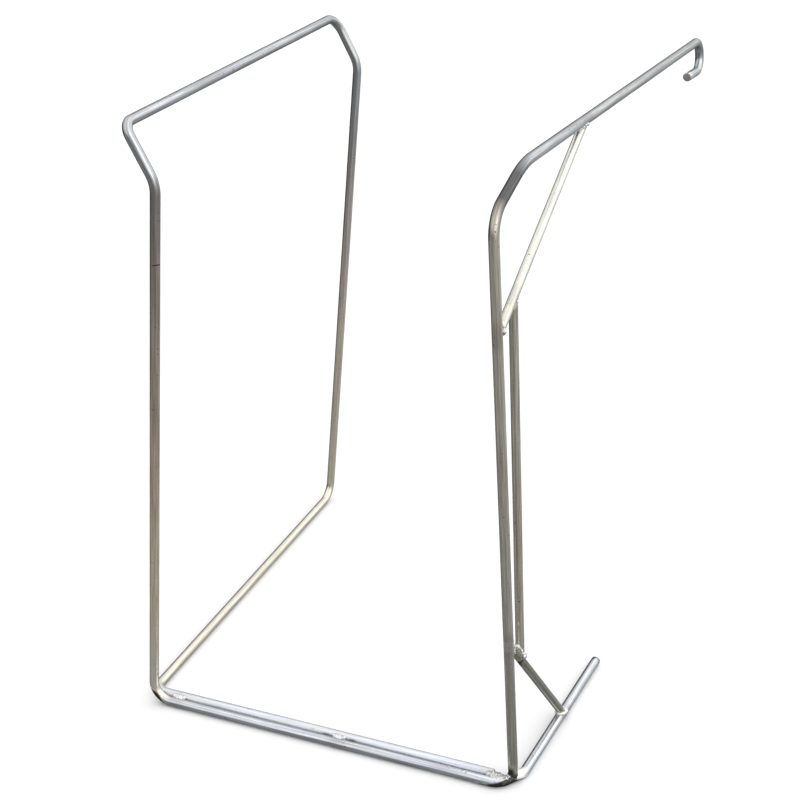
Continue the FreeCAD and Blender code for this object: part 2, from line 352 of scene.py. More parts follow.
def layout():
    """Corner points of every rod axis, as in the CAD."""
    along = Vector((math.sin(ARM_SPLAY), math.cos(ARM_SPLAY), 0))
    across = Vector((math.cos(ARM_SPLAY), -math.sin(ARM_SPLAY), 0))
    lean_in = Vector((-math.tan(ARM_LEAN), 0, 1))
    crank = Vector((-CRANK_OUT, 0, CRANK_RISE))
    p = {}
    p["run_left"] = Vector((0, 0, 0))
    p["run_right"] = Vector((RUN_LENGTH, 0, 0))
    p["foot_end"] = p["run_right"] + along * FOOT_REACH
    p["loop_near"] = Vector((LOOP_RISE * math.tan(LOOP_LEAN), LOOP_TILT, LOOP_RISE))
    p["bar_near"] = p["loop_near"] + crank
    p["bar_far"] = p["bar_near"] + Vector((0, LOOP_DEPTH_TOP, 0))
    p["loop_far"] = p["bar_far"] - crank
    p["loop_back"] = Vector((0, LOOP_DEPTH_LOW, 0))
    p["tuck"] = Vector((-LOOP_TUCK, RUN_SPACING, 0))
    p["inner_end"] = p["run_right"] + Vector((-INNER_RUN_STOP, RUN_SPACING, 0))

    p["cut_run"] = p["run_right"] - Vector((CORNER_CUT_RUN, 0, 0))
    p["cut_foot"] = p["run_right"] + along * CORNER_CUT_FOOT
    base = p["cut_run"].lerp(p["cut_foot"], UPRIGHT_SEAT_SHARE)
    p["upright_foot"] = base + lean_in * UPRIGHT_SEAT
    p["upright_top"] = base + lean_in * UPRIGHT_RISE
    p["shoulder"] = p["upright_top"] + along * SHOULDER_REACH + lean_in * SHOULDER_RISE
    p["hook_top"] = p["shoulder"] + along * ARM_REACH - lean_in * ARM_FALL
    p["hook_low"] = p["hook_top"] - lean_in * HOOK_DROP + across * HOOK_SKEW
    p["hook_tip"] = p["hook_low"] - along * HOOK_RETURN + lean_in * HOOK_LIFT

    p["upper_low"] = base + lean_in * UPPER_BRACE_HEIGHT
    p["upper_high"] = p["shoulder"].lerp(p["hook_top"], UPPER_BRACE_SHARE)
    p["lower_high"] = base + lean_in * LOWER_BRACE_HEIGHT
    p["lower_low"] = p["run_right"] + along * LOWER_BRACE_REACH
    p["post_high"] = p["upper_low"].lerp(p["upper_high"], POST_TOP_SHARE)
    p["post_low"] = p["lower_high"].lerp(p["lower_low"], POST_LOW_SHARE)

    left = -LOOP_TUCK - ROD
    right = p["foot_end"].x + ROD * math.cos(ARM_SPLAY)
    shift = Vector((-(left + right) / 2, -p["hook_top"].y / 2, ROD))
    for name in p:
        p[name] = p[name] + shift
    return p, along, lean_in.normalized()


# ---------------------------------------------------------------------------
# Rods
# ---------------------------------------------------------------------------
def bent_course(points, radii):
    """Axis samples (place, bend, outward, stage) along runs joined by tangent arcs.

    A stage from 2n to 2n + 1 is on straight run n, and up to 2n + 2 on the bend after it.
    """
    course = []
    start = points[0]
    for index, radius in enumerate(radii):
        before, corner, after = points[index:index + 3]
        back = (before - corner).normalized()
        ahead = (after - corner).normalized()
        half = back.angle(ahead) / 2
        tangent = radius / math.tan(half)
        centre = corner + (back + ahead).normalized() * (radius / math.sin(half))
        first = corner + back * tangent
        course += straight_samples(start, first, index)
        spoke = first - centre
        axis = spoke.cross(corner + ahead * tangent - centre).normalized()
        sweep = math.pi - 2 * half
        for i in range(BEND_STEPS):
            share = i / BEND_STEPS
            arm = Matrix.Rotation(sweep * share, 3, axis) @ spoke
            bend = math.sin(math.pi * share)
            course.append((centre + arm, bend, arm.normalized(), 2 * index + 1 + share))
        start = corner + ahead * tangent
    course += straight_samples(start, points[-1], len(radii))
    course.append((points[-1], 0.0, ORIGIN, 2.0 * len(radii) + 1))
    return course


def straight_samples(a, b, run):
    """Axis samples of one straight run, without its last point."""
    steps = max(2, int((b - a).length / RUN_STEP))
    return [(a.lerp(b, i / steps), 0.0, ORIGIN, 2 * run + i / steps) for i in range(steps)]


def course_frames(course):
    """A direction and two side vectors for each sample, carried along without twist."""
    places = [sample[0] for sample in course]
    frames = []
    side = None
    for i in range(len(places)):
        ahead = places[min(i + 1, len(places) - 1)] - places[max(i - 1, 0)]
        ahead.normalize()
        if side is None:
            helper = UP if abs(ahead.z) < STEEP else Vector((0, 1, 0))
            side = ahead.cross(helper)
        side = (side - ahead * side.dot(ahead)).normalized()
        frames.append((ahead, side, ahead.cross(side)))
    return frames


def along_stages(values, stage):
    """The value at a stage of a rod, from a list with one value at each whole stage."""
    low = min(int(stage), len(values) - 1)
    high = min(low + 1, len(values) - 1)
    return Vector(values[low]).lerp(Vector(values[high]), stage - int(stage))


def weld_marks(place, spots):
    """How strongly the welds nearby have tempered the metal, and how much soot and painted shade lie round
    them.
    """
    heat = 0.0
    soot_and_shade = 0.0
    for centre, heat_reach, soot_and_shade_reach in spots:
        away = (place - centre).length
        heat = max(heat, math.exp(-(away / heat_reach) ** 2))
        soot_and_shade = max(soot_and_shade, math.exp(-(away / soot_and_shade_reach) ** 2))
    return heat, soot_and_shade


def soot_and_shade_darkness(soot_and_shade, rise):
    """How black the soot and painted shade leave a surface that faces up by rise: the darkening starts from
    the underside.
    """
    edge = SOOT_AND_SHADE_LOW + SOOT_AND_SHADE_CLIMB * soot_and_shade
    return max(0.0, min(1.0, SOOT_AND_SHADE_CONTRAST * (edge - rise)))


def rod_piece(name, points, radii, radius, run_tints, spots, seed):
    """A round drawn rod along a bent course, with its tints of own tone and painted reflection, pale oxide,
    heat, and soot with painted shade stored on its points.
    """
    rng = random.Random(seed)
    phases = [rng.uniform(0, math.tau) for _ in range(4)]
    course = bent_course(points, radii)
    frames = course_frames(course)
    travel = [0.0]
    for a, b in zip(course, course[1:]):
        travel.append(travel[-1] + (b[0] - a[0]).length)

    bm = bmesh.new()
    grain = bm.verts.layers.float_vector.new("grain")
    tint = bm.verts.layers.float_vector.new("tint")
    film_and_shade = bm.verts.layers.float_vector.new("film_and_shade")
    # Tints at the start and end of each run: the wire's own tone with painted reflection
    tint_stages = [end for run in run_tints for end in run[:2]]
    pale_stages = [(run[2], 0, 0) for run in run_tints for _ in range(2)]

    def ring(index, slide, share):
        """One ring of points; slide moves it along the axis and share scales its radius."""
        place, bend, outward, stage = course[index]
        ahead, side, top = frames[index]
        distance = travel[index] + slide
        run_tint = along_stages(tint_stages, stage)
        pale = along_stages(pale_stages, stage)[0]
        verts = []
        for k in range(RING_POINTS):
            angle = math.tau * k / RING_POINTS
            out = side * math.cos(angle) + top * math.sin(angle)
            size = radius - WAVER - SKIN_GAP
            long_wave = math.sin(distance * LONG_WAVE + phases[0]) * math.cos(angle + phases[1])
            short_wave = math.sin(distance * SHORT_WAVE + phases[2]) * math.cos(2 * angle + phases[3])
            size += WAVER * 0.5 * long_wave
            size += WAVER * 0.5 * short_wave
            size *= 1 - BEND_FLATTENING * bend * out.dot(outward) ** 2
            vert = bm.verts.new(place + out * size * share + ahead * slide)
            vert[grain] = (math.cos(angle), math.sin(angle), distance)
            # Heat near the welds, and soot with painted shade that climbs from the underside
            heat, soot_and_shade = weld_marks(vert.co, spots)
            vert[tint] = run_tint
            vert[film_and_shade] = (pale, heat, soot_and_shade_darkness(soot_and_shade, out.z))
            verts.append(vert)
        return verts

    last = len(course) - 1
    inner_share = 1 - END_CHAMFER / radius
    rings = [ring(0, END_DISH, DISH_SHARE), ring(0, 0.0, inner_share), ring(0, END_CHAMFER, 1.0)]
    rings += [ring(i, 0.0, 1.0) for i in range(1, last)]
    rings += [ring(last, -END_CHAMFER, 1.0), ring(last, 0.0, inner_share)]
    rings += [ring(last, -END_DISH, DISH_SHARE)]
    skin_rings(bm, rings)
    return mesh_object(name, bm)


def skin_rings(bm, rings):
    """Faces between the rings and a cap on both ends; the ends take the second material."""
    end_bands = (0, len(rings) - 2)
    for j, (low, high) in enumerate(zip(rings, rings[1:])):
        for k in range(RING_POINTS):
            n = (k + 1) % RING_POINTS
            face = bm.faces.new((low[k], low[n], high[n], high[k]))
            face.smooth = True
            face.material_index = 1 if j in end_bands else 0
    for cap in (rings[0], rings[-1]):
        face = bm.faces.new(cap)
        face.material_index = 1
    bmesh.ops.recalc_face_normals(bm, faces=bm.faces)


def mesh_object(name, bm):
    """Turn a bmesh into a linked object."""
    mesh = bpy.data.meshes.new(name)
    bm.to_mesh(mesh)
    bm.free()
    obj = bpy.data.objects.new(name, mesh)
    bpy.context.scene.collection.objects.link(obj)
    return obj


# ---------------------------------------------------------------------------
# Weld beads
# ---------------------------------------------------------------------------
def add_blob(bm, centre, radii, turn):
    """One rounded lump of weld metal, with its own half sizes and direction."""
    shape = Matrix.Translation(centre) @ turn.to_4x4() @ Matrix.Diagonal((*radii, 1))
    bmesh.ops.create_icosphere(bm, subdivisions=2, radius=1.0, matrix=shape)


def way_frame(way):
    """A rotation whose X axis lies along the way."""
    return way.to_track_quat("X", "Z").to_matrix()


def meeting_ring(joint, course, rod_way, thin, thick, count):
    """Points around the line where a thin rod's surface runs into a thicker rod."""
    side = course.cross(rod_way).normalized()
    top = course.cross(side).normalized()
    across = course - rod_way * course.dot(rod_way)
    ring = []
    for k in range(count):
        angle = math.tau * k / count
        out = side * math.cos(angle) + top * math.sin(angle)
        foot = out * thin
        flat = foot - rod_way * foot.dot(rod_way)
        a = across.dot(across)
        b = 2 * flat.dot(across)
        c = flat.dot(flat) - thick * thick
        reach = (-b + math.sqrt(max(0.0, b * b - 4 * a * c))) / (2 * a)
        ring.append((joint + foot + course * reach, out))
    return ring


def fused_bead(name, bm, seed):
    """Fuse the lumps into one skin, then give it ripples and pits."""
    obj = mesh_object(name, bm)
    fuse = obj.modifiers.new("fuse", "REMESH")
    fuse.mode = "VOXEL"
    fuse.voxel_size = BEAD_VOXEL
    soften = obj.modifiers.new("soften", "SMOOTH")
    soften.iterations = BEAD_SOFTENING
    graph = bpy.context.evaluated_depsgraph_get()
    skin = bpy.data.meshes.new_from_object(obj.evaluated_get(graph))
    skin.name = name
    old = obj.data
    obj.modifiers.clear()
    obj.data = skin
    bpy.data.meshes.remove(old)
    offset = Vector([seed * step for step in NOISE_PLACE])
    moved = []
    for vert in skin.vertices:
        ripple = noise.noise(vert.co * RIPPLES_PER_METRE + offset) * BEAD_RIPPLE
        pit = noise.noise(vert.co * PITS_PER_METRE - offset) * BEAD_PIT
        moved.append(vert.co + vert.normal * (ripple + pit))
    for vert, place in zip(skin.vertices, moved):
        vert.co = place
    skin.shade_smooth()
    return obj


def joint_bead(name, joint, course, rod_way, thick, scale, slide, seed):
    """A lumpy fillet round the foot of a thin rod; slide moves it up the thin rod."""
    rng = random.Random(seed)
    bm = bmesh.new()
    ring = meeting_ring(joint + course * slide, course, rod_way, THIN, thick, FILLET_BLOBS)
    for place, out in ring:
        girth = BEAD_GIRTH * scale * rng.uniform(*FILLET_GIRTHS)
        shape = (girth * rng.uniform(*FILLET_LENGTHS), girth, girth * rng.uniform(*FILLET_HEIGHTS))
        add_blob(bm, place + out * girth * FILLET_OUTSET, shape, way_frame(out.cross(course)))
    for _ in range(round(BUILD_UP_LUMPS * scale)):
        place, out = rng.choice(ring)
        girth = BEAD_GIRTH * scale * rng.uniform(*BUILD_UP_GIRTHS)
        shape = (girth, girth, girth * BUILD_UP_HEIGHT)
        add_blob(bm, place + out * BUILD_UP_OUTSET * MM, shape, way_frame(course))
    for _ in range(round(SPATTER * scale)):
        place, out = rng.choice(ring)
        girth = rng.uniform(*SPATTER_GIRTHS) * MM
        drop = place + course * rng.uniform(*SPATTER_CLIMB) * MM
        add_blob(bm, drop, (girth, girth, girth), Matrix.Identity(3))
    return fused_bead(name, bm, seed)


def tack_bead(name, centre, way, length, width, height, seed):
    """A short run of overlapping puddles laid in the groove between two rods."""
    rng = random.Random(seed)
    bm = bmesh.new()
    for k in range(TACK_PUDDLES):
        share = k / (TACK_PUDDLES - 1) - 0.5
        taper = math.sqrt(1 - (TACK_REACH * share) ** 2)
        wide = width * taper * rng.uniform(*PUDDLE_WIDTHS)
        place = centre + way * share * length * TACK_REACH
        place += Vector((0, rng.uniform(*PUDDLE_SIDE_STRAY), rng.uniform(*PUDDLE_RISE_STRAY))) * MM
        high = height * rng.uniform(*PUDDLE_HEIGHTS)
        add_blob(bm, place, (length * PUDDLE_LENGTH, wide, high), way_frame(way))
    for _ in range(SPATTER):
        girth = rng.uniform(*TACK_SPATTER_GIRTHS) * MM
        place = centre + way * rng.uniform(-TACK_SPATTER_REACH, TACK_SPATTER_REACH) * length
        aside = rng.choice((-1, 1)) * rng.uniform(*TACK_SPATTER_SIDE) * MM
        place += Vector((0, aside, height * TACK_SPATTER_RISE))
        add_blob(bm, place, (girth, girth, girth), Matrix.Identity(3))
    return fused_bead(name, bm, seed)


def foot_bead(name, joint, course, seed):
    """The lumps that join the main upright to the cut corner; they trail off against the course."""
    rng = random.Random(seed)
    bm = bmesh.new()
    outer = course.cross(UP)
    for k in range(FOOT_LUMPS):
        angle = math.tau * k / FOOT_LUMPS
        out = Vector((math.cos(angle), math.sin(angle), 0))
        girth = BEAD_GIRTH * rng.uniform(*FOOT_LUMP_GIRTHS)
        place = joint + out * ROD * FOOT_LUMP_OUTSET + UP * rng.uniform(*FOOT_LUMP_STRAY) * MM
        add_blob(bm, place, (girth * LUMP_LENGTH, girth, girth), way_frame(out.cross(UP)))
    for k in range(FOOT_RUNS):
        girth = BEAD_GIRTH * rng.uniform(*FOOT_RUN_GIRTHS)
        trail = FOOT_TRAIL * k / (FOOT_RUNS - 1)
        place = joint + outer * ROD * FOOT_RUN_OUTSET - course * trail
        place -= UP * ROD * rng.uniform(*FOOT_RUN_DROPS)
        add_blob(bm, place, (girth * LUMP_LENGTH, girth, girth), way_frame(course))
    add_blob(bm, joint, (ROD * FOOT_CORE, ROD * FOOT_CORE, ROD * FOOT_CORE_HEIGHT), Matrix.Identity(3))
    return fused_bead(name, bm, seed)


# ---------------------------------------------------------------------------
# Materials
# ---------------------------------------------------------------------------
class Shader:
    """Short calls for building the nodes of a material or of the world."""

    def __init__(self, owner):
        owner.use_nodes = True
        self.tree = owner.node_tree
        self.out = self.tree.nodes.get("Principled BSDF") or self.tree.nodes["Background"]

    def node(self, kind, **settings):
        made = self.tree.nodes.new(kind)
        for key, value in settings.items():
            setattr(made, key, value)
        return made

    def feed(self, socket, value):
        if isinstance(value, bpy.types.NodeSocket):
            self.tree.links.new(value, socket)
        else:
            socket.default_value = value

    def maths(self, operation, a, b=0.0, c=0.0, clamp=False):
        made = self.node("ShaderNodeMath", operation=operation, use_clamp=clamp)
        for socket, value in zip(made.inputs, (a, b, c)):
            self.feed(socket, value)
        return made.outputs[0]

    def noise(self, vector, scale, detail=3.0, rough=0.5, warp=0.0):
        made = self.node("ShaderNodeTexNoise")
        self.feed(made.inputs["Vector"], vector)
        self.feed(made.inputs["Scale"], scale)
        self.feed(made.inputs["Detail"], detail)
        self.feed(made.inputs["Roughness"], rough)
        self.feed(made.inputs["Distortion"], warp)
        return made.outputs[0]

    def spread(self, value, low, high, to_low=0.0, to_high=1.0):
        made = self.node("ShaderNodeMapRange")
        for socket, item in zip(made.inputs, (value, low, high, to_low, to_high)):
            self.feed(socket, item)
        return made.outputs[0]

    def ramp(self, value, stops):
        made = self.node("ShaderNodeValToRGB")
        colours = made.color_ramp
        while len(colours.elements) < len(stops):
            colours.elements.new(0.5)
        for element, (place, colour) in zip(colours.elements, stops):
            element.position = place
            element.color = (*colour, 1)
        self.feed(made.inputs[0], value)
        return made.outputs[0]

    def mix(self, share, a, b, blend="MIX"):
        made = self.node("ShaderNodeMix", data_type="RGBA", blend_type=blend)
        self.feed(made.inputs["Factor"], share)
        self.feed(made.inputs[6], a if isinstance(a, bpy.types.NodeSocket) else (*a, 1))
        self.feed(made.inputs[7], b if isinstance(b, bpy.types.NodeSocket) else (*b, 1))
        return made.outputs[2]

    def bump(self, height, distance, strength, below=None):
        made = self.node("ShaderNodeBump")
        self.feed(made.inputs["Height"], height)
        self.feed(made.inputs["Distance"], distance)
        self.feed(made.inputs["Strength"], strength)
        if below:
            self.feed(made.inputs["Normal"], below)
        return made.outputs[0]


def wire_noise(shader, pattern, shift):
    """Noise stretched along a rod, so that it turns into draw lines."""
    around, lengthwise, place, detail, rough, warp = WIRE_NOISE[pattern]
    grain = shader.node("ShaderNodeAttribute", attribute_name="grain").outputs["Vector"]
    start = shift + place
    scaled = shader.node("ShaderNodeVectorMath", operation="MULTIPLY_ADD")
    shader.feed(scaled.inputs[0], grain)
    shader.feed(scaled.inputs[1], (around, around, lengthwise))
    shader.feed(scaled.inputs[2], [start * step for step in NOISE_WAY])
    return shader.noise(scaled.outputs[0], 1.0, detail, rough, warp)


def spot(shader, place, centre, reach, ragged):
    """A small ragged mark: 1 at its centre, 0 beyond its reach in X, Y and Z."""
    shift = shader.node("ShaderNodeVectorMath", operation="SUBTRACT")
    shader.feed(shift.inputs[0], place)
    shader.feed(shift.inputs[1], centre)
    scale = shader.node("ShaderNodeVectorMath", operation="DIVIDE")
    shader.feed(scale.inputs[0], shift.outputs[0])
    shader.feed(scale.inputs[1], reach)
    size = shader.node("ShaderNodeVectorMath", operation="LENGTH")
    shader.feed(size.inputs[0], scale.outputs[0])
    rim = shader.maths("MULTIPLY_ADD", ragged, MARK_RAGGEDNESS, size.outputs["Value"])
    return shader.spread(rim, *MARK_EDGES, 1.0, 0.0)


def wire_marks(s, shift, ragged, dark_spots):
    """How dark the marks on the wire are: handling ticks, specks, and the given spots, among them painted
    shade in the groove beside the middle tack.
    """
    tick = s.spread(wire_noise(s, "tick", shift), *TICK_EDGES)
    patch = s.spread(wire_noise(s, "tick_patch", shift), *TICK_PATCH_EDGES)
    speck = s.spread(wire_noise(s, "speck", shift), *SPECK_EDGES)
    marks = s.maths("MAXIMUM", s.maths("MULTIPLY", tick, patch), s.maths("MULTIPLY", speck, SPECK_STRENGTH))
    place = s.node("ShaderNodeTexCoord").outputs["Object"]
    for centre, reach in dark_spots:
        marks = s.maths("MAXIMUM", marks, spot(s, place, centre, reach, ragged))
    return marks


def wire_layers(s, shift, dark_spots):
    """Every layer of the wire's looks by name: its patterns, and the tints, pale oxide, heat, and soot with
    painted shade stored along the rod.
    """
    film_and_shade = s.node("ShaderNodeSeparateXYZ")
    s.feed(film_and_shade.inputs[0], s.node("ShaderNodeAttribute", attribute_name="film_and_shade").outputs["Vector"])
    pale, nearness, soot_and_shade = film_and_shade.outputs
    streak = wire_noise(s, "streak", shift)
    fine = wire_noise(s, "fine", shift)
    blotch = wire_noise(s, "blotch", shift)
    draw = s.maths("ADD", s.maths("MULTIPLY", streak, STREAK_SHARE), s.maths("MULTIPLY", fine, FINE_SHARE))
    uneven = s.maths("MULTIPLY_ADD", blotch, HEAT_BLOTCH, -HEAT_BLOTCH / 2)
    return {
        "tint": s.node("ShaderNodeAttribute", attribute_name="tint").outputs["Vector"],
        "pale": pale,
        "soot_and_shade": soot_and_shade,
        "streak": streak,
        "fine": fine,
        "shade": s.spread(draw, *SHADE_EDGES),
        "stain": s.spread(blotch, *STAIN_EDGES),
        "drift": s.spread(wire_noise(s, "drift", shift), *DRIFT_EDGES),
        "temper": s.maths("ADD", nearness, uneven, clamp=True),
        "heat": s.spread(nearness, *HEAT_EDGES, 0.0, HEAT_STRENGTH),
        "marks": wire_marks(s, shift, fine, dark_spots),
    }


def wire_colour(s, layers):
    """The wire's base colour, one layer over another."""
    colour = s.mix(layers["shade"], WIRE_DULL, WIRE_BRIGHT)
    colour = s.mix(s.maths("MULTIPLY", layers["pale"], PALE_STRENGTH), colour, PALE_TINT)
    # Each run's tint: its own tone with painted reflection
    tint_share = s.spread(layers["fine"], *FINE_EDGES, *TINT_STRENGTH)
    colour = s.mix(tint_share, colour, layers["tint"], "MULTIPLY")
    colour = s.mix(layers["drift"], colour, DRIFT_WARM, "MULTIPLY")
    colour = s.mix(s.maths("SUBTRACT", 1.0, layers["drift"]), colour, DRIFT_COOL, "MULTIPLY")
    colour = s.mix(s.maths("MULTIPLY", layers["stain"], STAIN_STRENGTH), colour, STAIN_TINT, "MULTIPLY")
    # Soot with painted shade near the welds
    colour = s.mix(layers["soot_and_shade"], colour, SOOT_AND_SHADE_COLOUR)
    colour = s.mix(layers["heat"], colour, s.ramp(layers["temper"], HEAT_COLOURS), "MULTIPLY")
    return s.mix(s.maths("MULTIPLY", layers["marks"], MARK_STRENGTH), colour, MARK_COLOUR)


def wire_material(name, shift, dark_spots=()):
    """Drawn steel wire: lengthwise streaks, stains, handling ticks, and heat marks by the welds."""
    material = bpy.data.materials.new(name)
    s = Shader(material)
    layers = wire_layers(s, shift, dark_spots)
    s.feed(s.out.inputs["Base Color"], wire_colour(s, layers))

    rough = s.spread(layers["shade"], 0.0, 1.0, WIRE_ROUGH, WIRE_SMOOTH)
    for layer, added in ADDED_ROUGHNESS.items():
        rough = s.maths("MULTIPLY_ADD", layers[layer], added, rough, clamp=True)
    s.feed(s.out.inputs["Roughness"], rough)

    relief = s.bump(layers["fine"], *FINE_RELIEF)
    relief = s.bump(layers["streak"], *STREAK_RELIEF, relief)
    relief = s.bump(s.maths("MULTIPLY", layers["marks"], -1.0), *MARK_RELIEF, relief)
    s.feed(s.out.inputs["Normal"], relief)

    # Soot with painted shade, and pale oxide, make the metal matt
    matt = s.maths("MULTIPLY_ADD", layers["pale"], PALE_MATT, layers["soot_and_shade"])
    s.feed(s.out.inputs["Metallic"], s.maths("SUBTRACT", 1.0, matt, clamp=True))
    s.out.inputs["Specular IOR Level"].default_value = WIRE_SPECULAR
    return material


def cut_material():
    """The sheared end of a rod: a torn grey face with drag lines and a little rust."""
    material = bpy.data.materials.new("cut_end")
    s = Shader(material)
    place = s.node("ShaderNodeTexCoord").outputs["Object"]
    stretch = s.node("ShaderNodeVectorMath", operation="MULTIPLY")
    s.feed(stretch.inputs[0], place)
    s.feed(stretch.inputs[1], DRAG_SCALE)
    drag = s.noise(stretch.outputs[0], 1.0, 4.0, 0.6)
    rust = s.noise(place, RUST_SCALE, 3.0)
    colour = s.mix(drag, DRAG_DULL, DRAG_BRIGHT)
    colour = s.mix(s.spread(rust, *RUST_EDGES), colour, RUST_COLOUR)
    s.feed(s.out.inputs["Base Color"], colour)
    s.feed(s.out.inputs["Roughness"], s.spread(drag, 0.3, 0.7, 0.65, 0.4))
    s.feed(s.out.inputs["Normal"], s.bump(drag, *DRAG_RELIEF))
    s.out.inputs["Metallic"].default_value = 1.0
    return material


def weld_material(name, dull, bright, slag_level):
    """Lumpy weld metal with slag specks and straw stains."""
    material = bpy.data.materials.new(name)
    s = Shader(material)
    place = s.node("ShaderNodeTexCoord").outputs["Object"]
    cloud = s.noise(place, CLOUD_SCALE, 3.0, 0.6)
    slag = s.noise(place, SLAG_SCALE, 3.0, 0.65)
    grit = s.noise(place, GRIT_SCALE, 2.0)
    specks = s.spread(slag, slag_level, slag_level + SLAG_BAND)
    colour = s.mix(s.spread(cloud, 0.35, 0.65), dull, bright)
    colour = s.mix(s.spread(cloud, *STRAW_EDGES, 0.0, STRAW_STRENGTH), colour, STRAW_STAIN)
    colour = s.mix(s.maths("MULTIPLY", specks, SLAG_STRENGTH), colour, SLAG_COLOUR)
    rough = s.spread(cloud, 0.3, 0.7, 0.2, 0.42)
    rough = s.maths("MULTIPLY_ADD", specks, SLAG_ROUGHNESS, rough, clamp=True)
    s.feed(s.out.inputs["Base Color"], colour)
    s.feed(s.out.inputs["Roughness"], rough)
    relief = s.bump(grit, *GRIT_RELIEF)
    s.feed(s.out.inputs["Normal"], s.bump(slag, *SLAG_RELIEF, relief))
    s.out.inputs["Metallic"].default_value = WELD_METALLIC
    return material


def floor_material():
    """Plain pale studio floor."""
    material = bpy.data.materials.new("studio_floor")
    s = Shader(material)
    place = s.node("ShaderNodeTexCoord").outputs["Object"]
    cloud = s.noise(place, FLOOR_CLOUD_SCALE, 2.0)
    s.feed(s.out.inputs["Base Color"], s.mix(cloud, *FLOOR_COLOURS))
    s.feed(s.out.inputs["Roughness"], s.spread(cloud, 0.0, 1.0, *FLOOR_ROUGHNESS))
    s.out.inputs["Specular IOR Level"].default_value = FLOOR_SPECULAR
    return material


# ---------------------------------------------------------------------------
# The frame's pieces
# ---------------------------------------------------------------------------
def trimmed(start, end, start_wall, start_axis, end_wall, end_axis):
    """Both ends of a brace axis, pulled back to the surface of the rods they meet."""
    course = (end - start).normalized()
    start_trim = start_wall / math.sin(course.angle(start_axis))
    end_trim = end_wall / math.sin(course.angle(end_axis))
    return start + course * start_trim, end - course * end_trim


def fit_piece(obj, node, slot, *materials):
    """Finish a piece and let it stand for its CAD node."""
    for material in materials:
        obj.data.materials.append(material)
    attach(obj, "root")
    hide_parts(node)


def build_long_rods(p, spots, wire, cut):
    """The two long bent rods."""
    points = [p[n] for n in ("foot_end", "cut_foot", "cut_run", "run_left", "loop_near", "bar_near",
                             "bar_far", "loop_far", "loop_back", "tuck", "inner_end")]
    radii = [CUT_BEND, CUT_BEND, CORNER_BEND, CRANK_BEND, NEAR_BAR_BEND, CORNER_BEND, CRANK_BEND,
             CORNER_BEND, TUCK_BEND]
    loop = rod_piece("loop_rod", points, radii, ROD, LOOP_TINTS, spots, 11)
    fit_piece(loop, "side_loop_rod", "drawn_wire", wire, cut)

    points = [p[n] for n in ("upright_foot", "upright_top", "shoulder", "hook_top", "hook_low", "hook_tip")]
    radii = [UPRIGHT_BEND, SHOULDER_BEND, HOOK_BEND, HOOK_BEND]
    arm = rod_piece("arm_rod", points, radii, ROD, ARM_TINTS, spots, 23)
    fit_piece(arm, "hook_arm_rod", "drawn_wire", wire, cut)


def build_thin_rods(ends, spots, cut):
    """The three braces, each sunk a little into the rods it is welded to."""
    plans = [
        ("upper_brace_rod", "upper_brace", "upper", UPPER_TINTS, 31),
        ("second_upright_rod", "second_upright", "post", POST_TINTS, 37),
        ("lower_brace_rod", "lower_brace", "lower", LOWER_TINTS, 41),
    ]
    for name, node, key, run_tints, seed in plans:
        start, end = ends[key]
        sink = (end - start).normalized() * BRACE_SINK
        rod = rod_piece(name, [start - sink, end + sink], [], THIN, run_tints, spots, seed)
        wire = wire_material(name + "_wire", seed * 1.7)
        fit_piece(rod, node, "brace_wire", wire, cut)


def build_beads(p, along, lean_in, weld, speckled, sooty_shaded):
    """Every weld: tacks along the doubled run, the upright's foot, and fillets at the braces."""
    half_gap = RUN_SPACING / 2
    groove = Vector((0, half_gap, TACK_RISE))
    run_way = (p["run_right"] - p["run_left"]).normalized()
    first = p["run_left"] + run_way * RUN_LENGTH * FIRST_TACK
    middle = p["run_left"] + run_way * RUN_LENGTH * MIDDLE_TACK
    last = p["inner_end"] + Vector((ROD, -half_gap, TACK_RISE))
    tacks = [
        ("run_tack_left", "weld_run_left", first + groove, 1.0, weld, 51),
        ("run_tack_middle", "weld_run_middle", middle + groove, 1.0, weld, 52),
        ("run_tack_right", "weld_run_right", last, END_TACK_SCALE, speckled, 53),
    ]
    for name, node, centre, scale, material, seed in tacks:
        bead = tack_bead(name, centre, run_way, TACK_LONG * scale, TACK_WIDE * scale, TACK_HIGH, seed)
        fit_piece(bead, node, "weld_metal", material)

    corner_way = (p["cut_foot"] - p["cut_run"]).normalized()
    # Near-black weld: partly soot, partly painted shade under the cut corner
    bead = foot_bead("upright_foot_bead", p["upright_foot"], corner_way, 57)
    fit_piece(bead, "weld_upright_foot", "weld_metal", sooty_shaded)

    arm = p["hook_top"] - p["shoulder"]
    upper = p["upper_high"] - p["upper_low"]
    lower = p["lower_low"] - p["lower_high"]
    post = p["post_high"] - p["post_low"]
    # Piece, node, joint, course of the thin rod, way and radius of the rod it meets, scale, slide, seed
    joints = [
        ("upper_brace_arm_bead", "weld_upper_brace_arm",
         p["upper_high"], -upper, arm, ROD, 0.8, 0.0, 61),
        ("upper_brace_upright_bead", "weld_upper_brace_upright",
         p["upper_low"], upper, lean_in, ROD, 0.8, FILLET_SLIDE, 62),
        ("post_top_bead", "weld_second_upright_top",
         p["post_high"], -post, upper, THIN, 0.35, 0.0, 63),
        ("post_foot_bead", "weld_second_upright_foot",
         p["post_low"], post, lower, THIN, 0.9, FILLET_SLIDE, 64),
        ("lower_brace_upright_bead", "weld_lower_brace_upright",
         p["lower_high"], lower, lean_in, ROD, 0.8, 0.0, 65),
        ("lower_brace_foot_bead", "weld_lower_brace_foot",
         p["lower_low"], -lower, along, ROD, 0.9, 0.0, 66),
    ]
    for name, node, joint, course, rod_way, wall, scale, slide, seed in joints:
        bead = joint_bead(name, joint, course.normalized(), rod_way.normalized(), wall, scale, slide, seed)
        fit_piece(bead, node, "weld_metal", weld)


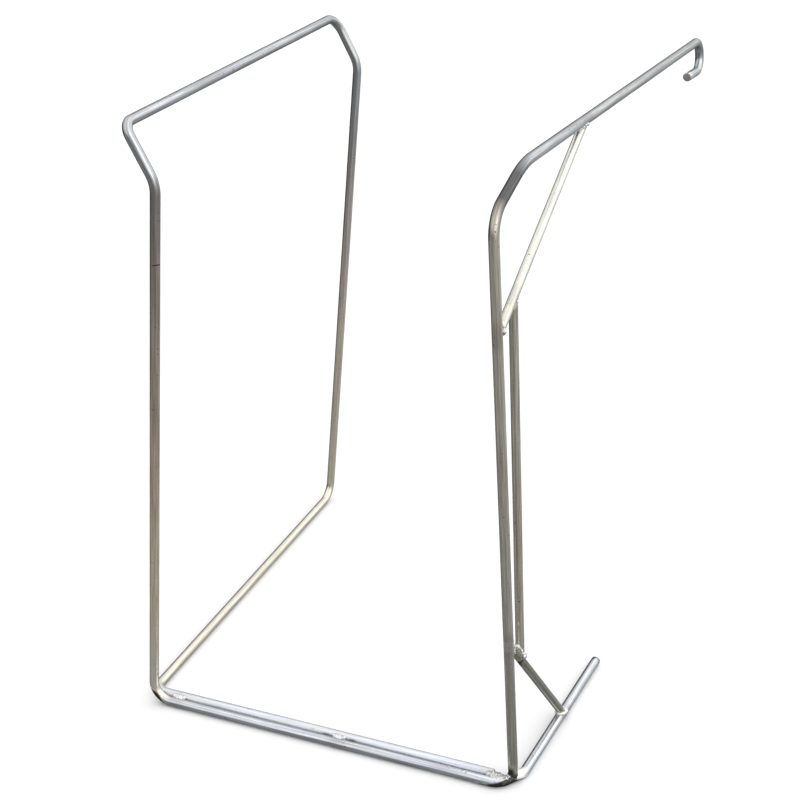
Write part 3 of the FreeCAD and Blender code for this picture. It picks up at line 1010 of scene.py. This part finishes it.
# ---------------------------------------------------------------------------
# Studio
# ---------------------------------------------------------------------------
def build_floor():
    """A wide plain floor under the frame."""
    bm = bmesh.new()
    bmesh.ops.create_circle(bm, cap_ends=True, segments=FLOOR_SIDES, radius=FLOOR_RADIUS)
    floor = mesh_object("studio_floor", bm)
    floor.data.materials.append(floor_material())
    floor.visible_glossy = False


def soft_light(name, place, target, width, height, power, colour):
    """A soft rectangular studio light aimed at a point."""
    lamp = bpy.data.lights.new(name, "AREA")
    lamp.shape = "RECTANGLE"
    lamp.size = width
    lamp.size_y = height
    lamp.energy = power
    lamp.color = colour
    obj = bpy.data.objects.new(name, lamp)
    obj.location = place
    obj.rotation_euler = (Vector(target) - Vector(place)).to_track_quat("-Z", "Y").to_euler()
    obj.visible_glossy = False
    bpy.context.scene.collection.objects.link(obj)
    return obj


def build_world():
    """Studio surroundings: bright overhead, dim below, with soft bright and dark areas."""
    world = bpy.data.worlds.new("studio")
    bpy.context.scene.world = world
    s = Shader(world)
    towards = s.node("ShaderNodeTexCoord").outputs["Generated"]
    parts = s.node("ShaderNodeSeparateXYZ")
    s.feed(parts.inputs[0], towards)
    height = s.spread(parts.outputs[2], -1.0, 1.0)
    stops = [((rise + 1) / 2, (level, level, level)) for rise, level in SURROUNDINGS]
    level = s.ramp(height, stops)
    for direction, added in AREAS:
        nearness = s.node("ShaderNodeVectorMath", operation="DOT_PRODUCT")
        s.feed(nearness.inputs[0], towards)
        s.feed(nearness.inputs[1], Vector(direction).normalized())
        reach = s.maths("MULTIPLY_ADD", nearness.outputs["Value"], AREA_TIGHTNESS, -AREA_TIGHTNESS)
        level = s.maths("MULTIPLY_ADD", s.maths("EXPONENT", reach), added, level)
    level = s.maths("MAXIMUM", level, DARKEST)
    seen = s.node("ShaderNodeLightPath").outputs["Is Camera Ray"]
    s.feed(s.out.inputs["Color"], s.mix(seen, level, BACKDROP))
    s.out.inputs["Strength"].default_value = WORLD_STRENGTH


def build_camera():
    """The camera at the viewing angle, with the small shift of its framing."""
    camera = bpy.data.cameras.new("camera")
    camera.lens = CAMERA_LENS
    camera.sensor_width = CAMERA_SENSOR
    camera.shift_x = CAMERA_SHIFT[0]
    camera.shift_y = CAMERA_SHIFT[1]
    obj = bpy.data.objects.new("camera", camera)
    yaw = Matrix.Rotation(math.radians(CAMERA_YAW), 4, "Z")
    tilt = Matrix.Rotation(math.radians(90 + CAMERA_PITCH), 4, "X")
    roll = Matrix.Rotation(math.radians(CAMERA_ROLL), 4, "Z")
    obj.matrix_world = Matrix.Translation(CAMERA_PLACE) @ yaw @ tilt @ roll
    bpy.context.scene.collection.objects.link(obj)
    bpy.context.scene.camera = obj


def weld_spots(p):
    """Places of the welds, and how far each one has tempered the metal and spread soot with painted shade.
    """
    run_way = p["run_right"] - p["run_left"]
    spots = [
        (p["run_left"] + run_way * FIRST_TACK, *TACK_REACHES),
        (p["run_left"] + run_way * MIDDLE_TACK, *TACK_REACHES),
        (p["inner_end"], *END_TACK_REACHES),
        (p["cut_run"].lerp(p["cut_foot"], FOOT_SPOT_SHARE), *FOOT_REACHES),
        (p["run_left"] + LEFT_CORNER_SPOT, *LEFT_CORNER_REACHES),
    ]
    for name in ("upper_low", "upper_high", "lower_high", "lower_low", "post_high", "post_low"):
        spots.append((p[name], *BRACE_REACHES))
    return spots


def dark_spots(p):
    """Place and size of the painted shade in the groove beside the middle tack, and of two dark marks."""
    run_way = p["run_right"] - p["run_left"]
    groove = Vector((0, RUN_SPACING / 2, ROD * GROOVE_SHADE_RISE))
    middle = p["run_left"] + run_way * MIDDLE_TACK + groove
    upright = p["run_left"].lerp(p["loop_near"], UPRIGHT_MARK_SHARE)
    bar = p["bar_near"].lerp(p["bar_far"], BAR_MARK_SHARE)
    return [
        (middle - run_way.normalized() * GROOVE_SHADE_BEFORE, GROOVE_SHADE_SIZE),
        (middle + run_way.normalized() * GROOVE_SHADE_AFTER, GROOVE_SHADE_SIZE),
        (upright + UPRIGHT_MARK_SIDE, UPRIGHT_MARK_SIZE),
        (bar + BAR_MARK_SIDE, BAR_MARK_SIZE),
    ]


def brace_ends(p, along, lean_in):
    """Start and end of each brace, at the surfaces of the rods it meets."""
    arm = p["hook_top"] - p["shoulder"]
    upper = p["upper_high"] - p["upper_low"]
    lower = p["lower_low"] - p["lower_high"]
    return {
        "upper": trimmed(p["upper_low"], p["upper_high"], ROD, lean_in, ROD, arm),
        "lower": trimmed(p["lower_high"], p["lower_low"], ROD, lean_in, ROD, along),
        "post": trimmed(p["post_low"], p["post_high"], THIN, lower, THIN, upper),
    }


points, along, lean_in = layout()
spots = weld_spots(points)
cut = cut_material()
weld = weld_material("bright_weld", *BRIGHT_WELD)
speckled = weld_material("speckled_weld", *SPECKLED_WELD)
sooty_shaded = weld_material("sooty_shaded_weld", *SOOTY_SHADED_WELD)
build_long_rods(points, spots, wire_material("long_rod_wire", 3.0, dark_spots(points)), cut)
build_thin_rods(brace_ends(points, along, lean_in), spots, cut)
build_beads(points, along, lean_in, weld, speckled, sooty_shaded)

build_floor()
build_world()
for light in LIGHTS:
    soft_light(*light)
build_camera()

bpy.context.scene.view_settings.view_transform = "Standard"
